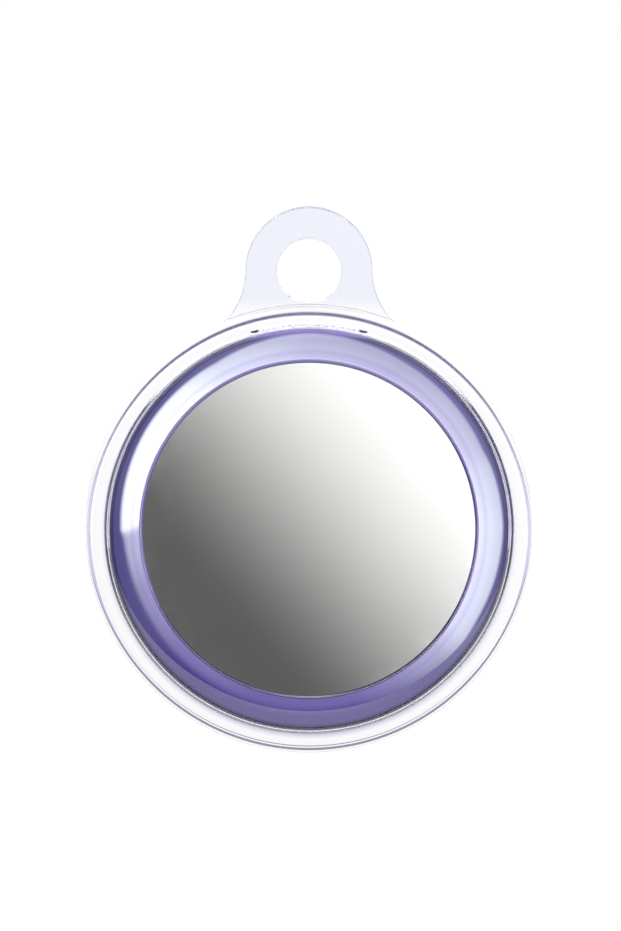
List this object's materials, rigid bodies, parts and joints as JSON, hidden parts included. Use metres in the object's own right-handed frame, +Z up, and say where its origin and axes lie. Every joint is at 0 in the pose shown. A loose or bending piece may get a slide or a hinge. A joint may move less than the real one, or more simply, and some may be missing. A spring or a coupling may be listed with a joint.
{
  "type": "keychain case with item finder tag",
  "caption": "Clear round case with a lug for a key ring and a push-in bezel, holding a coin-shaped finder tag with a twist-off steel battery cover.",
  "frame": {"origin": "centre of the key ring hole, on the middle plane of the lug", "axes": "+Z up from the disc to the lug, +Y towards the open back with the white dome, -Y towards the viewer and the steel cover, +X to the viewer's right"},
  "size_m": [0.0354, 0.0087, 0.0433],
  "materials": {
    "clear_lavender": "clear polycarbonate with a faint lavender tint, polished",
    "violet": "glossy violet plastic",
    "white": "glossy white plastic",
    "steel": "polished stainless steel",
    "tray_grey": "moulded plastic",
    "lug_ring_black": "moulded plastic",
    "foam": "closed-cell foam",
    "seal_rubber": "soft rubber",
    "cell_steel": "nickel-plated steel",
    "grommet": "moulded sealing ring",
    "board_green": "laminate with solder mask",
    "chip_black": "moulded chip package",
    "tinned_can": "tinned shield can",
    "copper": "bare copper",
    "magnet": "nickel-plated magnet",
    "contact": "gold-plated spring strip"
  },
  "bodies": {
    "case": {"case_shell": "clear_lavender", "case_lug": "clear_lavender"},
    "bezel": {"retaining_bezel": "violet"},
    "tag": {"tag_housing": "white", "battery_tray": "tray_grey", "negative_contact_left": "contact", "negative_contact_right": "contact", "positive_contact": "contact", "circuit_board": "board_green", "radio_chip": "chip_black", "ranging_module": "tinned_can", "flash_memory": "chip_black", "motion_sensor": "chip_black", "clock_crystal": "tinned_can", "antenna_strip": "copper", "speaker_magnet": "magnet", "magnet_yoke": "cell_steel", "voice_coil": "copper"},
    "cell": {"cell_can": "cell_steel", "cell_cap": "cell_steel", "cell_seal_ring": "grommet"},
    "cover_liner": {"cell_pad": "foam", "cover_seal": "seal_rubber"},
    "cover": {"cover_plate": "steel", "cover_lug_ring": "lug_ring_black"}
  },
  "joints": [
    {"name": "tag_pull", "type": "slide", "parent": "case", "child": "tag", "axis": [0, -1, 0], "range_m": [0, 0.011]},
    {"name": "bezel_pull", "type": "slide", "parent": "case", "child": "bezel", "axis": [0, -1, 0], "range_m": [0, 0.0275]},
    {"name": "cell_lift", "type": "slide", "parent": "tag", "child": "cell", "axis": [0, -1, 0], "range_m": [0, 0.00576]},
    {"name": "cover_lift", "type": "slide", "parent": "tag", "child": "cover_liner", "axis": [0, -1, 0], "range_m": [0, 0.01151]},
    {"name": "cover_twist", "type": "hinge", "parent": "cover_liner", "child": "cover", "pos_m": [0, -0.0042, -0.0206], "axis": [0, -1, 0], "range_deg": [0, 345]}
  ],
  "couplings": [
    {"joint": "bezel_pull", "follows": "tag_pull", "ratio": 2.5},
    {"joint": "cover_lift", "follows": "cover_twist", "m_per_rad": 0.0019099},
    {"joint": "cell_lift", "follows": "cover_twist", "m_per_rad": 0.00095493}
  ]
}
